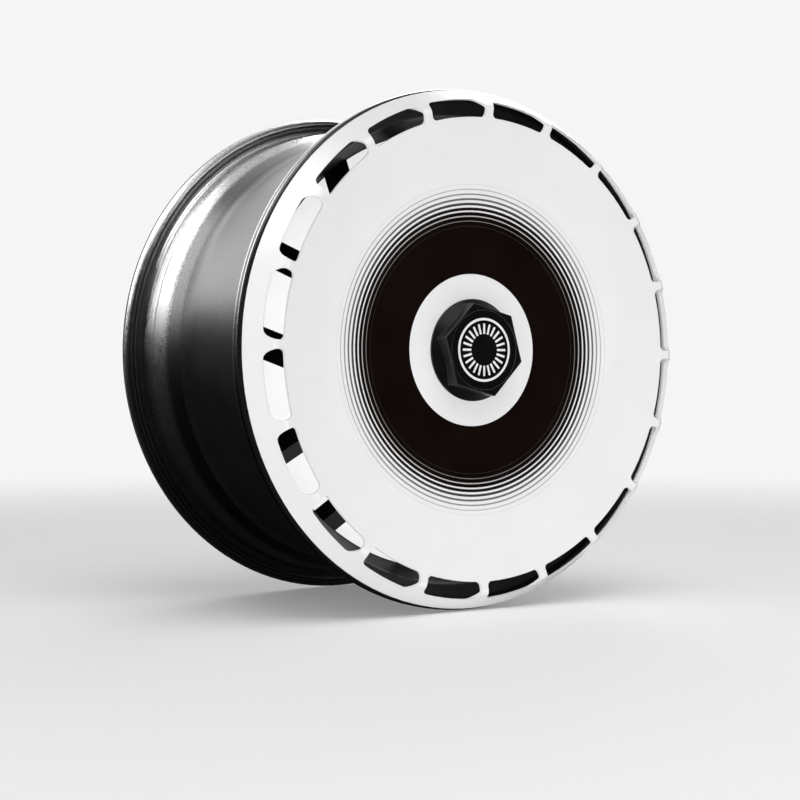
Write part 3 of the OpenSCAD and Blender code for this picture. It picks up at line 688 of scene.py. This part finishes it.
# %% Floor
FLOOR_RADIUS = 5.0
FLOOR_Z = cad_low.z - 0.0004
FADE_START, FADE_END = 0.7, 2.6


def flat_disc(name, radius, matrix):
    """A round sheet of one face, as a stage piece."""
    mesh = bpy.data.meshes.new(name)
    shape = bmesh.new()
    bmesh.ops.create_circle(shape, cap_ends=True, segments=96, radius=radius, matrix=matrix)
    shape.to_mesh(mesh)
    shape.free()
    sheet = bpy.data.objects.new(name, mesh)
    bpy.context.scene.collection.objects.link(sheet)
    return sheet


floor = flat_disc("floor", FLOOR_RADIUS, Matrix.Translation((0.0, 0.0, FLOOR_Z)))
tree, shader = start_finish("floor_paper", Roughness=0.9, Specular_IOR_Level=0.2,
                            Emission_Color=grey(0.9, 0.005), Emission_Strength=0.17)
coordinate = add_node(tree, "ShaderNodeTexCoord")
fibre = add_node(tree, "ShaderNodeTexNoise", {
    "Vector": coordinate.outputs["Object"], "Scale": 40.0, "Detail": 4.0})
paper = mix_colour(tree, fibre.outputs[0], grey(0.90, 0.005), grey(0.93, 0.003))
tree.links.new(paper, shader.inputs["Base Color"])
away = add_node(tree, "ShaderNodeVectorMath", {0: coordinate.outputs["Object"]}, operation="LENGTH")
fade = ramp(tree, away.outputs["Value"], FADE_START, FADE_END)
clear = add_node(tree, "ShaderNodeBsdfTransparent")
blend = add_node(tree, "ShaderNodeMixShader", {0: fade, 1: shader.outputs[0], 2: clear.outputs[0]})
tree.links.new(blend.outputs[0], tree.nodes["Material Output"].inputs["Surface"])
floor.data.materials.append(finishes["floor_paper"])
floor.visible_glossy = False
print("floor: z =", round(FLOOR_Z, 4), "m, fades out from", FADE_START, "to", FADE_END, "m")

# %% [markdown]
# ## A dark card behind the slots
# In a workshop picture the inside of a wheel is dark, because nothing lit stands behind it. In an
# empty studio the pale background would show through the slots instead. Photographers put a black
# card there; this one is painted shade, a black sheet at the back of the barrel that is no part of
# the wheel. It shows to the camera and in reflections, and only from the front, so it casts no shadow
# and the back of the wheel stays open.

# %% Black card of painted shade
shade_card = flat_disc("painted_shade_card", BARREL_INSIDE_RADIUS - 0.003,
                 Matrix.Translation((0.0, REAR_FACE_Y - 0.004, 0.0))
                 @ Matrix.Rotation(math.pi / 2, 4, "X"))
material = bpy.data.materials.new("painted_shade_card")
material.use_nodes = True
tree = material.node_tree
tree.nodes.clear()
# Painted shade: near black seen from the front, clear from the back.
black = add_node(tree, "ShaderNodeBsdfDiffuse", {"Color": grey(0.003)})
clear = add_node(tree, "ShaderNodeBsdfTransparent")
side = add_node(tree, "ShaderNodeNewGeometry")
blend = add_node(tree, "ShaderNodeMixShader", {
    0: side.outputs["Backfacing"], 1: black.outputs[0], 2: clear.outputs[0]})
add_node(tree, "ShaderNodeOutputMaterial", {"Surface": blend.outputs[0]})
shade_card.data.materials.append(material)
for ray in ("visible_diffuse", "visible_transmission", "visible_shadow"):
    setattr(shade_card, ray, False)
print("black card faces", [round(v, 2) for v in shade_card.data.polygons[0].normal])

# %% [markdown]
# ## Background
# The world is pale to the camera, and lights the wheel softly from all sides at a lower level. Light
# Path tells these rays apart. Mirrors see the pale studio only on the side that the camera looks at
# and above the horizon. The side behind the camera is dark, as a studio is: without a dark side,
# black parts would look grey all over.

# %% World
AMBIENT = 0.26
MIRRORED_DARK = 0.010
MIRRORED_PALE = 0.9
world = bpy.data.worlds.new("pale_studio")
bpy.context.scene.world = world
world.use_nodes = True
tree = world.node_tree
tree.nodes.clear()
ray = add_node(tree, "ShaderNodeLightPath")
where = add_node(tree, "ShaderNodeTexCoord")
toward = add_node(tree, "ShaderNodeVectorMath", {
    0: where.outputs["Generated"], 1: forward}, operation="DOT_PRODUCT")
axis = add_node(tree, "ShaderNodeSeparateXYZ", {0: where.outputs["Generated"]})
above = ramp(tree, axis.outputs[2], -0.06, 0.12)
back_side = ramp(tree, toward.outputs["Value"], 0.45, 0.95, 0.0, MIRRORED_PALE)
mirrored = plus(tree, MIRRORED_DARK, back_side, above)
mirrors = sums(tree, "MAXIMUM", ray.outputs["Is Glossy Ray"], ray.outputs["Is Transmission Ray"])
soft = mix_colour(tree, mirrors, (AMBIENT, AMBIENT, AMBIENT * 1.01, 1), mirrored)
seen = mix_colour(tree, ray.outputs["Is Camera Ray"], soft, (0.915, 0.918, 0.925, 1))
sky = add_node(tree, "ShaderNodeBackground", {"Color": seen, "Strength": 1.0})
add_node(tree, "ShaderNodeOutputWorld", {"Surface": sky.outputs[0]})
print("world: pale to the camera, ambient", AMBIENT)

# %% [markdown]
# ## Lamps
# Nine area lamps light the wheel, each aimed at its centre, in three roles. The key stands above the
# camera and makes the shadow. The fills cast no shadow and aren't mirrored: they lift the disc's
# face, and they reach through the windows, one to the faces of the spokes and one to the walls of
# the windows. Each of these two lights one solid only. The banners stand behind and above and are
# seen by mirrors only: they draw the bright bands on the barrel and light the turned seats.

# %% Lamps
LAMPS = (
    ("key_lamp", (-0.3, -1.3, 2.7), (2.4, 2.4), 34.0, "key"),
    ("front_lamp", (-1.5, -2.8, 0.65), (1.2, 1.2), 32.0, "fill"),
    ("low_lamp", (-1.3, -2.2, -0.9), (1.2, 1.2), 14.0, "fill"),
    ("window_lamp", (-1.0, -3.0, 0.55), (1.2, 1.2), 32.0, "fill"),
    ("rim_lamp", (-0.9, 0.7, 0.1), (0.6, 0.6), 5.5, "fill"),
    ("bank_lamp", (-1.45, 1.50, 1.20), (2.2, 1.5), 66.0, "banner"),
    ("top_lamp", (0.35, 2.2, 1.9), (1.8, 2.2), 22.0, "banner"),
    ("rear_lamp", (1.8, 1.9, 1.5), (1.4, 1.4), 110.0, "banner"),
    ("left_lamp", (-1.4, -0.2, 1.9), (1.4, 1.2), 40.0, "banner"))


def soft_box(name, place, size, watts, role):
    """An area lamp, turned to the wheel's centre and unseen by the camera."""
    lamp = bpy.data.lights.new(name, "AREA")
    lamp.shape = "RECTANGLE"
    lamp.size, lamp.size_y = size
    lamp.energy = watts
    lamp.use_shadow = role != "fill"
    holder = bpy.data.objects.new(name, lamp)
    bpy.context.scene.collection.objects.link(holder)
    holder.location = place
    holder.rotation_euler = (-Vector(place)).to_track_quat("-Z", "Y").to_euler()
    holder.visible_camera = False
    holder.visible_glossy = role != "fill"
    holder.visible_diffuse = role != "banner"
    return holder


lamps = {lamp[0]: soft_box(*lamp) for lamp in LAMPS}
for lamp in lamps.values():
    print(lamp.name, "at", [round(v, 2) for v in lamp.location], lamp.data.energy, "W")

# %% [markdown]
# ## Lamps for one solid
# Light linking gives a lamp a collection of receivers, and the lamp then lights nothing else. The
# window lamp is for the spokes' faces and the rim lamp for the walls of the disc's windows.

# %% Light linking
for lamp, receivers, solid in (("window_lamp", "spoke_faces", "wheel"),
                               ("rim_lamp", "disc_walls", "aero_disc")):
    lit = bpy.data.collections.new(receivers)
    lit.objects.link(solids[solid])
    lamps[lamp].light_linking.receiver_collection = lit
    print(lamp, "lights only", solid)

# %% [markdown]
# ## Colour handling
# The Standard view shows a colour as it is written, so a white of 0.9 comes out as a light grey-white
# and nothing is bent by a film curve.

# %% View
bpy.context.scene.view_settings.view_transform = "Standard"
print("view transform:", bpy.context.scene.view_settings.view_transform)
